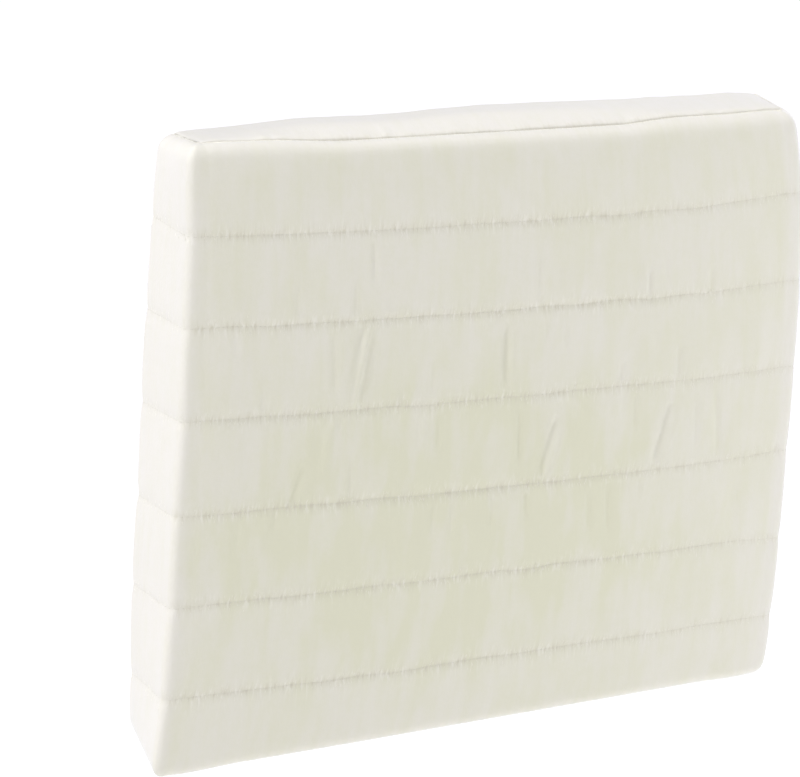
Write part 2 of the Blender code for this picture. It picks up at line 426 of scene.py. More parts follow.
def pulled(points):
    """Pulls points of a true box out of true: each level's pulls at its four corners, blended across
    the front, back to the hem and between levels, with a slow wave in the slack hem and a bell-shaped
    pinch where each row of stitching meets it."""
    x, y, z = points[..., 0], points[..., 1], points[..., 2]
    to_right = x / WIDTH + 0.5
    to_hem = np.clip(y / DEPTH + 0.5, 0, 1)

    def between_corners(pull):
        corners = [level(place + pull) for place in ("left_", "right_", "left_hem_", "right_hem_")]
        left, right, left_hem, right_hem = [np.interp(-z, -HEIGHTS, corner) for corner in corners]
        front = left * (1 - to_right) + right * to_right
        back = left_hem * (1 - to_right) + right_hem * to_right
        return front * (1 - to_hem) + back * to_hem

    slack = HEM_WAVE * np.sin(2 * np.pi * (x + z) / HEM_WAVELENGTH) * to_hem ** 2
    from_row = np.abs(z[..., None] - HEIGHTS[1:-1]).min(axis=-1)
    slack = slack - HEM_PINCH * np.exp(-(from_row / HEM_PINCH_REACH) ** 2) * to_hem ** 3
    return np.stack([x + between_corners("shift"), y + slack, z + between_corners("rise")], axis=-1)


def settled(points):
    """Settles the top edge: the seam sags at the front's middle, most at its own place and less with
    distance from it, and behind it the top wall swells up in broad bells."""
    x, y, z = points[..., 0], points[..., 1], points[..., 2]
    left, full_left, full_right, right = np.array(SAG_ENDS) * MM
    along = smooth((x - left) / (full_left - left)) * smooth((right - x) / (right - full_right))
    from_seam = np.hypot(y + DEPTH / 2 - ROLL_RADIUS, z - HEIGHTS[0]) / SAG_ROUND
    near_top = smooth((z - SAG_FROM) / SAG_FADE)
    lift = -SAG_HIGH * along * np.exp(-from_seam ** 2) * near_top
    behind = smooth((y + DEPTH / 2 - ROLL_RADIUS) / SWELL_BACK) * smooth((z - SWELL_FROM) / SWELL_FADE)
    for across, wide, high in SWELLS:
        away = (x / MM - across) / wide
        lift = lift + high * MM * np.exp(-away ** 2) * behind
    return np.stack([x, y, z + lift], axis=-1)


def plan(across):
    """Place and outward direction seen from above, at a length from the middle of the front: a
    straight front, a quarter circle and a straight wall on each side."""
    side = np.sign(across)
    away = np.abs(across)
    turn = np.clip((away - HALF_FRONT) / CORNER_RADIUS, 0, np.pi / 2)
    along_wall = np.maximum(away - HALF_FRONT - CORNER_ARC, 0)
    x = side * (np.minimum(away, HALF_FRONT) + CORNER_RADIUS * np.sin(turn))
    y = CORNER_RADIUS * (1 - np.cos(turn)) + along_wall - DEPTH / 2
    return np.stack([x, y], axis=-1), np.stack([side * np.sin(turn), -np.cos(turn)], axis=-1)


def wrap_base(across, up):
    """The wrap's seam surface and its outward direction: the plan at each height, where the upper
    and lower edge turn in over a quarter circle."""
    place, outward = plan(across)
    end = np.sign(up)
    lean = np.clip((np.abs(up) - HALF_STRAIGHT) / ROLL_RADIUS, 0, np.pi / 2)
    inset = ROLL_RADIUS * (1 - np.cos(lean))
    height = MIDDLE_HEIGHT + end * (np.minimum(np.abs(up), HALF_STRAIGHT) + ROLL_RADIUS * np.sin(lean))
    base = np.concatenate([place - outward * inset[..., None], height[..., None]], axis=-1)
    direction = np.concatenate([outward * np.cos(lean)[..., None], (end * np.sin(lean))[..., None]], axis=-1)
    return base, direction


def in_channel(up):
    """Which channel a height is in, counted from the bottom, its share of the way up that channel,
    the distance from the nearer seam, and half of the channel's height."""
    channel = np.clip(np.searchsorted(SEAMS, up, side="right") - 1, 0, len(SEAMS) - 2)
    low, high = SEAMS[channel], SEAMS[channel + 1]
    from_seam = np.maximum(np.minimum(up - low, high - up), 0)
    return channel, (up - low) / (high - low), from_seam, (high - low) / 2


def seam_shift(across, up):
    """How far the cloth rides up at each place: its seams' sags, blended straight between the places
    and between the seams, and a small random wander."""
    edge = np.zeros_like(across)
    sags = [np.interp(across / MM, SAG_PLACES, row) for row in SEAM_SAGS]
    sags = np.stack([edge, *sags[::-1], edge])
    channel, share, _, _ = in_channel(up)
    low = np.take_along_axis(sags, channel[None], axis=0)[0]
    high = np.take_along_axis(sags, channel[None] + 1, axis=0)[0]
    wander = SEAM_WANDER * uneven(
        across + HALF_LENGTH, up + HALF_HEIGHT, SEAM_WANDER_WIDE, SEAM_WANDER_TALL, seed=21
    )
    still = smooth((HALF_STRAIGHT - np.abs(up)) / SEAM_STILL)
    return wander * still - (low * (1 - share) + high * share) * MM


def filled_corner(across, up, height):
    """How much further out the pile stands at a front corner than a round of the corner's radius and
    its own height does: the distance along a ray from that round's centre to a tighter quarter circle
    and its two tangents, less the round's radius. It fades where the edge rolls over."""
    turn = np.clip((np.abs(across) - HALF_FRONT) / CORNER_RADIUS, 0, np.pi / 2)
    radius = CORNER_RADIUS + height
    tight = np.where(across < 0, *TIGHT_CORNERS)
    centre = radius - tight
    nearer = np.minimum(turn, np.pi / 2 - turn)
    cosine, sine = np.cos(nearer), np.sin(nearer)
    inside_root = np.maximum(tight ** 2 - (centre * (cosine - sine)) ** 2, 0)
    on_circle = centre * (cosine + sine) + np.sqrt(inside_root)
    reach = np.where(radius * sine < centre * cosine, radius / cosine, on_circle)
    lean = np.clip((np.abs(up) - HALF_STRAIGHT) / ROLL_RADIUS, 0, np.pi / 2)
    return (reach - radius) * np.cos(lean) ** 2


def drawn_in(across):
    """How far the thread draws the pile in: a soft step down towards the right of the front and
    another round each corner."""
    faded = 1 - FADED_SHARE * smooth((across - FADED_FROM) / (FADED_TO - FADED_FROM))
    on_wall = smooth((np.abs(across) - HALF_FRONT) / CORNER_ARC)
    return faded * (1 - (1 - WALL_SHARE) * on_wall)


def full_puff(across):
    """Full padding: thinner on the walls than on the front, where it grows in from the corners."""
    from_hem = HALF_LENGTH - np.abs(across)
    on_wall = np.clip(from_hem / WALL, 0, 1)
    on_front = rise_from_seam((HALF_FRONT - np.abs(across)) / FRONT_RUN)
    return HEM_PUFF + (CORNER_PUFF - HEM_PUFF) * on_wall + (FRONT_PUFF - CORNER_PUFF) * on_front


def creased(across, up):
    """Depth of the creases: each is a bell across its line, faded in and out along it."""
    channel, share, _, _ = in_channel(up)
    channel = len(SEAMS) - 1 - channel
    depth = np.zeros_like(across)
    creases = [(number, *row) for number, rows in CREASES.items() for row in rows]
    for number, above, below, upper, lower, width, deep in creases:
        down = (upper - share) / (upper - lower)
        off = (across / MM - (above + (below - above) * down)) / width
        fade = smooth(down / CREASE_FADE) * smooth((1 - down) / CREASE_FADE)
        depth += np.where(channel == number, deep * np.exp(-off * off) * fade, 0)
    return depth * MM


def wrap_relief(across, up):
    """Height of the pile over the seam surface: a low crown in each channel less a narrow valley at
    each seam, with the cloth's waves, strongest at mid height, the gathers beside the seams, which
    fall away exponentially, and the creases."""
    _, _, from_seam, half = in_channel(up)
    length = across + HALF_LENGTH
    lift = up + HALF_HEIGHT
    valley = VALLEY_SHARE * drawn_in(across) * np.exp(-(from_seam / VALLEY_REACH) ** VALLEY_POWER)
    crown = CROWN_SHARE * (1 - np.clip(from_seam / half, 0, 1)) ** CROWN_POWER
    height = full_puff(across) * (1 - valley - crown)
    on_front = smooth((HALF_FRONT - np.abs(across)) / WAVES_CORNER)
    on_front = WAVES_WALL + (1 - WAVES_WALL) * on_front
    off_seam = smooth(from_seam / WAVES_SEAM)
    ruffled = RUFFLED_LEAST + (1 - RUFFLED_LEAST) * np.exp(-(up / RUFFLED_REACH) ** 4)
    for seed, (wide, tall, high) in enumerate(WAVES):
        wave = uneven(length, lift, wide * MM, tall * MM, seed + 1)
        height += high * MM * wave * off_seam * on_front * ruffled
    for away, (wide, reach, start, high, seed) in zip((from_seam, np.abs(HALF_HEIGHT - up)), GATHERS):
        beside = np.exp(-away / (reach * MM)) * smooth(from_seam / (start * MM))
        height += high * MM * beside * uneven(length, lift, wide * MM, GATHER_TALL, seed)
    height -= creased(across, up)
    from_strip = HALF_HEIGHT - np.abs(up)
    sewn_flat = smooth((HALF_FRONT - np.abs(across)) / ROLL_CORNER)
    sewn_flat = ROLL_THIN_CORNER + (1 - ROLL_THIN_CORNER) * sewn_flat
    height *= 1 - ROLL_THIN * sewn_flat * np.exp(-(from_strip / ROLL_THIN_REACH) ** 2)
    height += filled_corner(across, up, height)
    off_hem = rise_from_seam((HALF_LENGTH - np.abs(across)) / HEM_ROUND)
    return HEM_EDGE_OUT + (height - HEM_EDGE_OUT) * off_hem


def wrap_outside(across, up):
    """Points of the wrap's pile side."""
    base, direction = wrap_base(across, up)
    points = base + direction * wrap_relief(across, up)[..., None]
    points[..., 2] += seam_shift(across, up)
    return pulled(settled(points))


def turned_hem(from_hem):
    """Extra thickness of the hem on the back, with a soft step down where its turning ends."""
    return HEM_TURN_THICK * smooth((HEM_TURN + HEM_TURN_STEP / 2 - from_hem) / HEM_TURN_STEP)


def wrap_inside(across, up):
    """Points of the wrap's back side: flat under the thread, a little puffed between the seams, and
    thicker where the hem is turned in."""
    base, direction = wrap_base(across, up)
    _, share, _, _ = in_channel(up)
    from_hem = HALF_LENGTH - np.abs(across)
    depth = STITCHED + LINING_PUFF * puff(share) + turned_hem(from_hem)
    depth = HEM_EDGE_IN + (depth - HEM_EDGE_IN) * rise_from_seam(from_hem / HEM_ROUND)
    points = base - direction * depth[..., None]
    points[..., 2] += seam_shift(across, up)
    return pulled(settled(points))


def grid_faces(columns, rows, start, flipped):
    """Squares between the points of a grid, whose numbers run up each column in turn."""
    corner = (np.arange(columns - 1)[:, None] * rows + np.arange(rows - 1)).ravel() + start
    faces = np.stack([corner, corner + rows, corner + rows + 1, corner + 1], axis=1)
    return (faces[:, ::-1] if flipped else faces).tolist()


def rim_faces(fine, coarse, step):
    """Faces that close an edge between a fine line of points and a coarse one, each coarse length
    facing as many fine lengths as the step. Both run the way that turns the faces outwards."""
    faces = []
    for place in range(len(coarse) - 1):
        beside = fine[place * step:(place + 1) * step + 1]
        faces.append([coarse[place + 1], coarse[place], *beside])
    return faces


def padded_cloth(name, across, up, outside, inside, finish, material, row_step=INNER_ROW_STEP):
    """Closed body of padded cloth: a fine grid for the pile side and a coarse one for the back, with
    a UV map that is the cloth laid flat, in metres, and the attributes that its finish reads."""
    coarse = (slice(None, None, INNER_COLUMN_STEP), slice(None, None, row_step))
    columns, rows = across.shape
    inner_columns, inner_rows = across[coarse].shape
    outer_number = np.arange(columns * rows).reshape(columns, rows)
    inner_number = np.arange(inner_columns * inner_rows).reshape(inner_columns, inner_rows)
    inner_number = inner_number + outer_number.size
    points = np.concatenate([outside.reshape(-1, 3), inside[coarse].reshape(-1, 3)])
    faces = grid_faces(columns, rows, 0, False)
    faces += grid_faces(inner_columns, inner_rows, outer_number.size, True)
    edges = (
        (outer_number[::-1, 0], inner_number[::-1, 0], INNER_COLUMN_STEP),
        (outer_number[-1, ::-1], inner_number[-1, ::-1], row_step),
        (outer_number[:, -1], inner_number[:, -1], INNER_COLUMN_STEP),
        (outer_number[0], inner_number[0], row_step),
    )
    for fine, back, step in edges:
        faces += rim_faces(fine.tolist(), back.tolist(), step)
    mesh = bpy.data.meshes.new(name)
    mesh.from_pydata(points.tolist(), [], faces)
    flat = np.concatenate([
        np.stack([across, up], axis=-1).reshape(-1, 2),
        np.stack([across[coarse], up[coarse]], axis=-1).reshape(-1, 2),
    ])
    corner_point = np.empty(len(mesh.loops), dtype=np.int32)
    mesh.loops.foreach_get("vertex_index", corner_point)
    laid_flat = mesh.uv_layers.new(name="laid flat")
    laid_flat.data.foreach_set("uv", flat[corner_point].astype(np.float32).ravel())
    for attribute, share in finish.items():
        values = np.concatenate([share.ravel(), share[coarse].ravel()]).astype(np.float32)
        mesh.attributes.new(attribute, "FLOAT", "POINT").data.foreach_set("value", values)
    back = np.repeat((0.0, 1.0), (outer_number.size, inner_number.size)).astype(np.float32)
    mesh.attributes.new("back", "FLOAT", "POINT").data.foreach_set("value", back)
    mesh.materials.append(material)
    mesh.shade_smooth()
    mesh.update()
    return show(bpy.data.objects.new(name, mesh))


# Polyester plush, knitted with a short pile, sheared and brushed: matt, soft and a little lighter
# where it is seen edge on. Its front carries a painted shade, grey-green, that stands in for the
# lighter sheen of the walls and top, darker again in an oval round its middle, in faint upright
# streaks and patches. Beside each row of thread a painted shade lies along the seam, broken into
# short ticks of painted shadow, and beside it flecks of painted highlight stand for locks that
# catch the light.
PILE_COLOUR = "#e9e6da"
# painted shade, grey-green, over the front and darker in the oval round its middle
FRONT_SHADE_COLOUR = "#e1e0c6"
# painted shade along each seam, and painted shadow in its ticks
SEAM_SHADE_COLOUR = "#d6d2bc"
# painted highlight on locks beside each seam
SEAM_HIGHLIGHT_COLOUR = "#f7f5ea"
BACK_COLOUR = "#e4e1d6"
# painted shade in the grooves between the ribs of the back
BACK_GROOVE_SHADE_COLOUR = "#d3d0c3"
GRAINS = {  # wide and tall in mm, detail, low and high end of the noise used, least and most of it
    "locks": (1.7, 3.4, 2.0, 0.30, 0.80, 0.0, 0.10),  # a real lock is half as big: drawn to show
    "mottles": (11, 11, 3.0, 0.30, 0.75, 0.0, 0.10),
    "streaks": (9, 60, 2.0, 0.30, 0.80, 0.0, 0.17),
    "patches": (30, 100, 2.0, 0.36, 0.66, 0.55, 1.20),
    "ticks": (2.6, 16, 2.0, 0.48, 0.70, 0.0, 0.70),
    "highlight_flecks": (3.0, 12, 2.0, 0.52, 0.74, 0.0, 0.50),
}
GRAIN_SHIFT = (3.7, 5.3, 0)  # moves each pattern on from the one before
NAP_HIGH = 0.5 * MM  # height of the fine relief, and what locks and ticks add to it
LOCKS_STAND = 2.2
TICKS_LIE = 0.5
FRONT_SHADE_EVENLY = 0.40  # how strong the painted shade is over the whole front, and how much more the oval round its middle gets
OVAL_MOST = 0.62
FRONT_SHADE_CORNERS = (0.55, 0.15)  # how far round the left and the right corner it goes
FRONT_SHADE_FADE = (11 * MM, 20 * MM)
OVAL_PLACE = (-40 * MM, -75 * MM)
OVAL_REACH = (300 * MM, 175 * MM)
OVAL_EDGE = 0.95  # the oval's edge as a share of its reach, and its fading inwards
OVAL_FADE = 0.65
SEAM_SHADE_REACH = 3.8 * MM
SEAM_HIGHLIGHT_REACH = 6 * MM
THREAD_REACH = 3.4 * MM
THREAD_SHADE = 0.24
KNIT_STITCH = 1.8 * MM  # a real stitch is about half as wide: drawn to show
ONE_BAND = 0.31  # the scale at which a wave texture has one band to a unit
EDGE_LOST_FROM = 150 * MM  # the painted shade and highlight of the strips' seams fade out towards the corners
EDGE_LOST_OVER = 60 * MM
EDGE_LOST_LEAST = 0.4  # how lost the wrap's own edge is in the middle
EDGE_LOST_MOST = 0.9
EDGE_LOST_BELOW = 25 * MM


def worn(across, up):
    """Share of painted shade on the pile, standing in for the lighter sheen of the walls and top: even
    all over the front, a little less far round its right corner, and more in an oval round its middle."""
    corner = np.where(across < 0, *FRONT_SHADE_CORNERS) * CORNER_ARC
    on_front = smooth((HALF_FRONT + corner - np.abs(across)) / FRONT_SHADE_FADE[0])
    on_front = on_front * smooth((HALF_HEIGHT - np.abs(up)) / FRONT_SHADE_FADE[1])
    off_across = (across - OVAL_PLACE[0]) / OVAL_REACH[0]
    oval = np.hypot(off_across, (up - OVAL_PLACE[1]) / OVAL_REACH[1])
    return on_front * (FRONT_SHADE_EVENLY + OVAL_MOST * smooth((OVAL_EDGE - oval) / OVAL_FADE))


def seam_finish(from_seam, drawn):
    """Painted shade and painted highlight beside a seam: shares that fall away from it exponentially."""
    return {
        "parted": drawn * np.exp(-from_seam / SEAM_SHADE_REACH),
        "raised": drawn * np.exp(-from_seam / SEAM_HIGHLIGHT_REACH),
        "under_thread": drawn * THREAD_SHADE * np.exp(-(from_seam / THREAD_REACH) ** 2),
    }


def plush_material():
    """Ivory plush, and the plain jersey of its back."""
    material, tree, shader = new_material("sheared polyester plush", {
        "Roughness": 0.95, "Specular IOR Level": 0.15,
        "Sheen Weight": 0.55, "Sheen Roughness": 0.42, "Sheen Tint": linear("#f3f5ff"),
    })
    flat = add_node(tree, "UVMap", uv_map="laid flat").outputs["UV"]
    share = {
        name: add_node(tree, "Attribute", attribute_name=name).outputs["Fac"]
        for name in ("parted", "raised", "under_thread", "worn", "back")
    }
    grain = {}
    for place, (name, row) in enumerate(GRAINS.items()):
        wide, tall, detail, low, high, least, most = row
        scaled = add_node(tree, "Mapping", {
            "Vector": flat,
            "Location": [shift * place for shift in GRAIN_SHIFT],
            "Scale": (1 / (wide * MM), 1 / (tall * MM), 1),
        })
        noise = add_node(tree, "TexNoise", {
            "Vector": scaled.outputs["Vector"], "Scale": 1.0, "Detail": detail, "Roughness": 0.55,
        }, noise_dimensions="2D")
        grain[name] = add_node(tree, "MapRange", {
            "Value": noise.outputs["Fac"], "From Min": low, "From Max": high, "To Min": least, "To Max": most,
        }, interpolation_type="SMOOTHSTEP").outputs["Result"]

    # Painted shade over the front and more in an oval round its middle, in patches, with streaks, mottles and
    # locks all over: this is what keeps the front alive
    shade_and_tone = add_node(tree, "Math", {
        0: share["worn"], 1: grain["patches"], 2: grain["streaks"],
    }, operation="MULTIPLY_ADD")
    for name in ("mottles", "locks"):
        shade_and_tone = add_node(tree, "Math", {0: shade_and_tone.outputs["Value"], 1: grain[name]}, operation="ADD")

    # Painted shade under the thread, broken into ticks of painted shadow, and flecks of painted highlight:
    # the soft broken line of each seam
    parted = add_node(tree, "Math", {
        0: share["parted"], 1: grain["ticks"], 2: share["under_thread"],
    }, operation="MULTIPLY_ADD")
    # painted highlight, in flecks beside each seam
    raised = add_node(tree, "Math", {0: share["raised"], 1: grain["highlight_flecks"]}, operation="MULTIPLY")
    pile = linear(PILE_COLOUR)
    for layer, colour in ((shade_and_tone, FRONT_SHADE_COLOUR), (parted, SEAM_SHADE_COLOUR), (raised, SEAM_HIGHLIGHT_COLOUR)):
        pile = add_node(tree, "Mix", {
            "Factor": layer.outputs["Value"], "A": pile, "B": linear(colour),
        }, data_type="RGBA").outputs["Result"]

    # The back is the knitted ground of the plush: fine upright ribs of stitches, with painted shade in the
    # grooves between them
    knit = add_node(tree, "Mapping", {
        "Vector": flat, "Scale": (1 / KNIT_STITCH, 1 / KNIT_STITCH, 1),
    })
    ribs = add_node(tree, "TexWave", {
        "Vector": knit.outputs["Vector"], "Scale": ONE_BAND, "Distortion": 1.2, "Detail": 1.0,
    }, bands_direction="X")
    jersey = add_node(tree, "Mix", {
        "Factor": ribs.outputs["Fac"], "A": linear(BACK_COLOUR), "B": linear(BACK_GROOVE_SHADE_COLOUR),
    }, data_type="RGBA")
    cloth = add_node(tree, "Mix", {
        "Factor": share["back"], "A": pile, "B": jersey.outputs["Result"],
    }, data_type="RGBA")
    tree.links.new(cloth.outputs["Result"], shader.inputs["Base Color"])

    # Locks stand up a little and the ticks beside each seam lie lower, too finely for the mesh
    height = add_node(tree, "Math", {
        0: grain["locks"], 1: LOCKS_STAND, 2: grain["streaks"],
    }, operation="MULTIPLY_ADD")
    height = add_node(tree, "Math", {
        0: parted.outputs["Value"], 1: -TICKS_LIE, 2: height.outputs["Value"],
    }, operation="MULTIPLY_ADD")
    bump = add_node(tree, "Bump", {
        "Height": height.outputs["Value"], "Distance": NAP_HIGH, "Strength": 0.6,
    })
    tree.links.new(bump.outputs["Normal"], shader.inputs["Normal"])
    return material


def wrap_columns():
    """Lengths along the cloth from the middle of the front at which the mesh has its columns: evenly
    on the front, crowded by a cubic to the middle of each corner, and evenly again on the walls."""
    turn = np.linspace(-1, 1, CORNER_COLUMNS + 1)[:-1]
    turn = (1 - CORNER_CROWDING) * turn + CORNER_CROWDING * turn ** 3
    from_hem = (HALF_LENGTH - HALF_FRONT - CORNER_ARC) * np.linspace(1, 0, WALL_COLUMNS + 1) ** WALL_CROWDING
    right = np.concatenate([
        np.linspace(0, HALF_FRONT, FRONT_COLUMNS // 2 + 1)[:-1],
        HALF_FRONT + CORNER_ARC * (0.5 + 0.5 * turn),
        HALF_LENGTH - from_hem,
    ])
    return np.concatenate([-right[:0:-1], right])


def wrap_rows():
    """Lengths up the cloth at which the mesh has its rows: in each half channel the distance from
    the seam is a power of the row's number, so they crowd beside the seam."""
    away = np.linspace(0, 1, HALF_CHANNEL_ROWS + 1) ** ROW_CROWDING / 2
    shares = np.concatenate([away, 1 - away[-2::-1]])[:-1]
    rows = SEAMS[:-1, None] + np.diff(SEAMS)[:, None] * shares
    return np.append(rows.ravel(), SEAMS[-1])


plush = plush_material()
across, up = np.meshgrid(wrap_columns(), wrap_rows(), indexing="ij")
lost = smooth((np.abs(across) - EDGE_LOST_FROM) / EDGE_LOST_OVER)
lost = EDGE_LOST_MOST * (EDGE_LOST_LEAST + (1 - EDGE_LOST_LEAST) * lost)
lost = lost * (HALF_HEIGHT - np.abs(up) < EDGE_LOST_BELOW)
# painted shade and painted highlight beside each seam
finish = seam_finish(in_channel(up)[2], drawn_in(across) * (1 - lost))
# painted shade over the front, darker in an oval round its middle
finish["worn"] = worn(across, up)
wrap = padded_cloth(
    "quilted_wrap", across, up, wrap_outside(across, up), wrap_inside(across, up), finish, plush
)
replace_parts(wrap, "front_and_sides")
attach(wrap, "root")


# Quilting thread. Six rows of white polyester lockstitch across the wrap, each stitch pulled down
# into the pile at both ends, and the same rows on the back.

STITCH_LENGTH = 3.4 * MM
STITCH_GAP = 0.5 * MM
THREAD_RADIUS = 0.22 * MM
STITCH_RISE = 0.06 * MM
STITCH_SINK = 0.40 * MM
THREAD_TAPER = (0.0, 0.85, 1.0, 0.85, 0.0)
STITCH_STATIONS = len(THREAD_TAPER)
THREAD_SIDES = 6
# the second colour is painted shade in the grooves of the twist
THREAD_AND_GROOVE_SHADE_COLOURS = ("#e2dfd0", "#d6d3c4")
THREAD_TWIST = 0.9 * MM
THREAD_SLANT = np.radians(35)


def joined_rods(name, centres, radii, sideways, outwards, sides, material):
    """Many small closed rods as one mesh: round each rod's line of centres go rings of points, at
    the cosine and sine of the angle along its sideways and outward directions. The last ring at
    each end is drawn in to a point."""
    rods, stations, _ = centres.shape
    angle = np.linspace(0, 2 * np.pi, sides, endpoint=False)
    ring = (
        sideways[:, None, None, :] * np.cos(angle)[None, None, :, None]
        + outwards[:, None, None, :] * np.sin(angle)[None, None, :, None]
    )
    points = centres[:, :, None, :] + ring * radii[None, :, None, None]
    poles = points[:, [0, -1]].mean(axis=2)
    points = np.concatenate([poles[:, :1], points[:, 1:-1].reshape(rods, -1, 3), poles[:, 1:]], axis=1)
    rings = stations - 2
    place = np.arange(sides)
    following = (place + 1) % sides
    low = 1 + (np.arange(rings - 1)[:, None] * sides)
    walls = np.stack([low + place, low + following, low + sides + following, low + sides + place], axis=-1)
    first = np.stack([np.zeros_like(place), 1 + following, 1 + place], axis=-1)
    top = 1 + (rings - 1) * sides
    last = np.stack([np.full_like(place, 1 + rings * sides), top + place, top + following], axis=-1)
    start = (np.arange(rods) * points.shape[1])[:, None, None]
    faces = (start + walls.reshape(1, -1, 4)).reshape(-1, 4).tolist()
    faces += (start + np.concatenate([first, last])[None]).reshape(-1, 3).tolist()
    mesh = bpy.data.meshes.new(name)
    mesh.from_pydata(points.reshape(-1, 3).tolist(), [], faces)
    mesh.materials.append(material)
    mesh.shade_smooth()
    mesh.update()
    return show(bpy.data.objects.new(name, mesh))


def unit(vectors):
    """Vectors of length one."""
    return vectors / np.linalg.norm(vectors, axis=-1, keepdims=True)


def stitch_steps(start, end):
    """Places along a row of stitches, end to end, evenly spaced along each stitch."""
    starts = np.arange(start, end - STITCH_LENGTH, STITCH_LENGTH + STITCH_GAP)
    return starts[:, None] + np.linspace(0, 1, STITCH_STATIONS) * STITCH_LENGTH


def stitches(name, on_surface, direction):
    """Stitches as arcs, half a sine wave high, that sink into the cloth at both ends."""
    arch = np.sin(np.pi * np.linspace(0, 1, STITCH_STATIONS)) * (STITCH_RISE + STITCH_SINK) - STITCH_SINK
    centres = on_surface + direction * arch[None, :, None]
    outwards = direction[:, STITCH_STATIONS // 2]
    along = unit(centres[:, -1] - centres[:, 0])
    radii = THREAD_RADIUS * np.array(THREAD_TAPER)
    rows = joined_rods(name, centres, radii, unit(np.cross(outwards, along)), outwards, THREAD_SIDES, thread)
    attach(rows, "root")


# Spun polyester: matt, with painted shade in the grooves of its twist
thread = two_toned(
    "spun polyester sewing thread", {"Roughness": 0.7, "Specular IOR Level": 0.3},
    THREAD_AND_GROOVE_SHADE_COLOURS, "TexWave", {"Scale": ONE_BAND},
    Rotation=(0, THREAD_SLANT, 0), Scale=(1 / THREAD_TWIST,) * 3,
)
row_steps = stitch_steps(HEM_ROUND - HALF_LENGTH, HALF_LENGTH - HEM_ROUND)
row_across = np.tile(row_steps, (len(SEAMS) - 2, 1))
row_up = np.repeat(SEAMS[1:-1], len(row_steps))[:, None] * np.ones(STITCH_STATIONS)
row_outward = wrap_base(row_across, row_up)[1]
stitches("quilting_thread_front", wrap_outside(row_across, row_up), row_outward)
stitches("quilting_thread_back", wrap_inside(row_across, row_up), -row_outward)

# One more row on the back holds the hem of each side wall
HEM_ROW = 9.5 * MM
HEM_ROW_END = 6 * MM
hem_steps = stitch_steps(HEM_ROW_END - HALF_STRAIGHT, HALF_STRAIGHT - HEM_ROW_END)
hem_up = np.tile(hem_steps, (2, 1))
hem_across = np.repeat((HEM_ROW - HALF_LENGTH, HALF_LENGTH - HEM_ROW), len(hem_steps))
hem_across = hem_across[:, None] * np.ones(STITCH_STATIONS)
stitches("side_hem_thread", wrap_inside(hem_across, hem_up), -wrap_base(hem_across, hem_up)[1])


# Long pile. Where the thread and the edge seams part the plush, locks of its polyester pile stand
# out of the surface and lie over the seam.

LOCKS_PER_SEAM = 420
LOCK_LENGTH = (2.0 * MM, 4.4 * MM)
LOCK_RADIUS = 0.16 * MM
LOCK_TAPER = (0.0, 1.0, 0.75, 0.0)
LOCK_STATIONS = (0.0, 0.12, 0.55, 1.0)
LOCK_BURIED = 0.12  # shares of its length: in the cloth, and its droop
LOCK_DROOP = 0.18
LOCK_SPLAY = 0.13
LOCK_SIDES = 3
LOCK_COLOURS = ("#eeebda", "#faf8ec")
LOCK_SORTS = 4 * MM  # how close lighter and darker ones stand
LOCK_FEEL = 0.5 * MM  # half the length over which a lock's way up the cloth is felt
SEAM_LOCK_NEAREST = 0.8 * MM
SEAM_LOCK_SPREAD = 2.4 * MM
SEAM_LOCK_END = 4 * MM
SEAM_LOCK_LEAN = (0.6, 1.0)
SEAM_LOCK_LIE = 0.10  # share of a lock's length by which it stands off the cloth


def pile_locks(name, across, up, lean_up, lie, seed):
    """Thin tapered locks that grow from the wrap at given places, leaning up or down the cloth by
    a share from -1 to 1, with a random length and a little random sideways lean, and drooping by
    the square of the way along."""
    draw = np.random.default_rng(seed)
    count = len(across)
    root = wrap_outside(across, up)
    _, direction = wrap_base(across, up)
    upward = unit(wrap_outside(across, up + LOCK_FEEL) - wrap_outside(across, up - LOCK_FEEL))
    sideways = unit(np.cross(upward, direction))
    length = draw.uniform(*LOCK_LENGTH, count)[:, None]
    lean = upward * lean_up[:, None] + sideways * draw.normal(0, LOCK_SPLAY, count)[:, None]
    line = unit(lean + direction * lie)
    steps = np.array(LOCK_STATIONS)[None, :, None]
    length = length[:, None, :]
    centres = root[:, None, :] + line[:, None, :] * (steps - LOCK_BURIED) * length
    centres = centres - direction[:, None, :] * (steps ** 2 * LOCK_DROOP * length)
    radii = LOCK_RADIUS * np.array(LOCK_TAPER)
    outwards = unit(np.cross(sideways, line))
    across_line = unit(np.cross(line, outwards))
    locks = joined_rods(name, centres, radii, across_line, outwards, LOCK_SIDES, lock_finish)
    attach(locks, "root")


# The same sheared plush, on locks too thin for a pattern of their own: lighter and darker ones
lock_finish = two_toned(
    "loose locks of polyester plush",
    {"Roughness": 0.95, "Specular IOR Level": 0.15, "Sheen Weight": 0.35, "Sheen Roughness": 0.45},
    LOCK_COLOURS, "TexNoise", {"Scale": 1 / LOCK_SORTS, "Detail": 1.0},
)
scatter = np.random.default_rng(seed=61)
seam_side = scatter.choice((-1.0, 1.0), LOCKS_PER_SEAM * (len(SEAMS) - 2))
beside = np.abs(scatter.normal(0, SEAM_LOCK_SPREAD, len(seam_side))) + SEAM_LOCK_NEAREST
pile_locks(
    "seam_pile",
    scatter.uniform(SEAM_LOCK_END - HALF_LENGTH, HALF_LENGTH - SEAM_LOCK_END, len(seam_side)),
    np.repeat(SEAMS[1:-1], LOCKS_PER_SEAM) + seam_side * beside,
    scatter.choice((-1.0, 1.0), len(seam_side)) * scatter.uniform(*SEAM_LOCK_LEAN, len(seam_side)),
    SEAM_LOCK_LIE,
    seed=62,
)


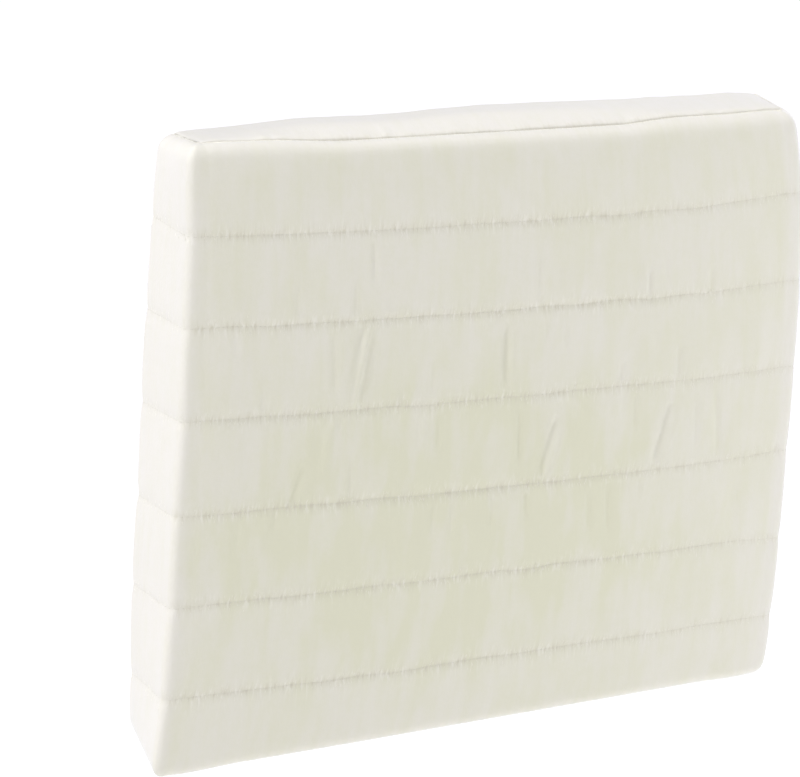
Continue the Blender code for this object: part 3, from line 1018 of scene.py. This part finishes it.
# Along the seams of the top and bottom walls the pile closes over the gap, most of all near the ends
EDGE_LOCKS = 5200
EDGE_LOCKS_END = 0.72  # share of them that grow beyond this distance from the middle
EDGE_LOCKS_FROM = 190 * MM
EDGE_LOCK_BESIDE = (0.3 * MM, 2.2 * MM)
EDGE_LOCK_LEAN = (0.75, 1.0)
EDGE_LOCK_LIE = 0.2

at_end = scatter.uniform(0, 1, EDGE_LOCKS) < EDGE_LOCKS_END
edge_across = np.where(
    at_end,
    scatter.uniform(EDGE_LOCKS_FROM, HALF_LENGTH - HEM_ROUND, EDGE_LOCKS),
    scatter.uniform(0, EDGE_LOCKS_FROM, EDGE_LOCKS),
)
edge_side = scatter.choice((-1.0, 1.0), EDGE_LOCKS)
pile_locks(
    "edge_seam_pile",
    edge_across * scatter.choice((-1.0, 1.0), EDGE_LOCKS),
    edge_side * (HALF_HEIGHT - scatter.uniform(*EDGE_LOCK_BESIDE, EDGE_LOCKS)),
    edge_side * scatter.uniform(*EDGE_LOCK_LEAN, EDGE_LOCKS),
    EDGE_LOCK_LIE,
    seed=63,
)


# Top wall and bottom wall. Two strips of the same padded plush, sewn edge to edge inside the rolled
# edges of the wrap. Their back edges are turned in as a hem.

SEWN_GAP = 0.05 * MM  # the pile of both edges closes what is 0.3 mm between the solids
STRIP_PUFF = 4.5 * MM
STRIP_RUN = 25 * MM
STRIP_COLUMNS = 252
STRIP_CORNER_COLUMNS = 8
STRIP_ROWS = 40
STRIP_GATHERS = (6 * MM, 9 * MM, 2 * MM, 0.65 * MM)
STRIP_GATHER_TALL = 60 * MM
STRIP_DIPS = (  # at the front seam: share of the padding that is squeezed out, and its reach
    (0.42, 2.2 * MM),
    (0.30, 12 * MM),
)
STRIP_DIPS_CORNER = 0.35  # their share at a corner, and the padding's share at an end seam
STRIP_PUFF_END = 0.45
STRIP_WAVES = WAVES[:3]  # the wide ones of the wrap's waves, at this share of their height
STRIP_WAVES_SHARE = 0.6
STRIP_DRAWN = 0.4  # share of the painted seam shade and highlight at its seams
STRIP_INNER_ROW_STEP = 2


def strip_surfaces(across, share, height, up_or_down, seed):
    """A strip's pile side and back side, and the distance from its nearest seam: straight lines run
    back from the front seam to the hem, padded more away from the seams, less near the corners, with
    small gathers at the front seam, and thicker on the back where the hem is turned in."""
    place, outward = plan(across)
    edge = place - outward * (ROLL_RADIUS + SEWN_GAP)
    back_edge = DEPTH / 2
    y = edge[..., 1] + (back_edge - edge[..., 1]) * share
    base = np.stack([edge[..., 0], y, np.full_like(y, height)], axis=-1)
    from_seam = y - edge[..., 1]
    from_end = WIDTH / 2 - ROLL_RADIUS - SEWN_GAP - np.abs(edge[..., 0])
    length = across + HALF_LENGTH

    off_end = rise_from_seam(from_end / STRIP_RUN)
    sewn_flat = STRIP_DIPS_CORNER + (1 - STRIP_DIPS_CORNER) * smooth(from_end / ROLL_CORNER)
    dips = sum(squeezed * np.exp(-from_seam / reach) for squeezed, reach in STRIP_DIPS)
    relief = STRIP_PUFF * (1 - sewn_flat * dips) * (STRIP_PUFF_END + (1 - STRIP_PUFF_END) * off_end)
    wide, reach, start, high = STRIP_GATHERS
    gathers = uneven(length, from_seam, wide, STRIP_GATHER_TALL, seed)
    relief += high * gathers * np.exp(-from_seam / reach) * smooth(from_seam / start)
    for wide, tall, high in STRIP_WAVES:
        wave = uneven(length, from_seam, wide * MM, tall * MM, seed + 1)
        relief += STRIP_WAVES_SHARE * high * MM * wave
    off_hem = rise_from_seam((back_edge - y) / HEM_ROUND)
    out = HEM_EDGE_OUT + (relief - HEM_EDGE_OUT) * off_hem
    puffed = rise_from_seam(share * 2) * off_end
    depth = STITCHED + LINING_PUFF * puffed + turned_hem(back_edge - y)
    depth = HEM_EDGE_IN + (depth - HEM_EDGE_IN) * off_hem

    outside, inside = base.copy(), base.copy()
    outside[..., 2] += out * up_or_down
    inside[..., 2] -= depth * up_or_down
    return pulled(settled(outside)), pulled(settled(inside)), np.minimum(from_seam, from_end)


def strip(name, height, up_or_down, seed):
    """One strip, with the row of stitches on its back that holds its hem. Its mesh lines are half
    even and half crowded towards its seam and its hem by a soft step."""
    right = np.concatenate([
        np.linspace(0, HALF_FRONT, STRIP_COLUMNS // 2 + 1)[:-1],
        np.linspace(HALF_FRONT, HALF_FRONT + CORNER_ARC, STRIP_CORNER_COLUMNS + 1),
    ])
    steps = np.linspace(0, 1, STRIP_ROWS + 1)
    steps = smooth(steps) * 0.5 + steps * 0.5
    across, share = np.meshgrid(np.concatenate([-right[:0:-1], right]), steps, indexing="ij")
    outside, inside, from_seam = strip_surfaces(across, share, height, up_or_down, seed)
    # painted shade and highlight at the strip's seams
    lost = EDGE_LOST_MOST * smooth((np.abs(across) - EDGE_LOST_FROM) / EDGE_LOST_OVER)
    finish = seam_finish(from_seam, STRIP_DRAWN * (1 - lost))
    finish["worn"] = np.zeros_like(across)
    grids = [across, share * DEPTH, outside, inside]
    if up_or_down < 0:
        grids = [grid[:, ::-1] for grid in grids]
        finish = {attribute: grid[:, ::-1] for attribute, grid in finish.items()}
    cloth = padded_cloth(name, *grids, finish, plush, STRIP_INNER_ROW_STEP)
    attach(cloth, "root")

    hem_across = stitch_steps(-HALF_FRONT, HALF_FRONT)
    hem_share = np.full_like(hem_across, 1 - HEM_ROW / (DEPTH - ROLL_RADIUS - SEWN_GAP))
    _, on_back, _ = strip_surfaces(hem_across, hem_share, height, up_or_down, seed)
    inwards = np.zeros_like(on_back)
    inwards[..., 2] = -up_or_down
    stitches(name + "_hem_thread", on_back, inwards)
    return cloth


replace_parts(strip("plush_top_wall", HEIGHTS[0], 1, seed=31), "top_wall")
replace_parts(strip("plush_bottom_wall", HEIGHTS[-1], -1, seed=41), "bottom_wall")
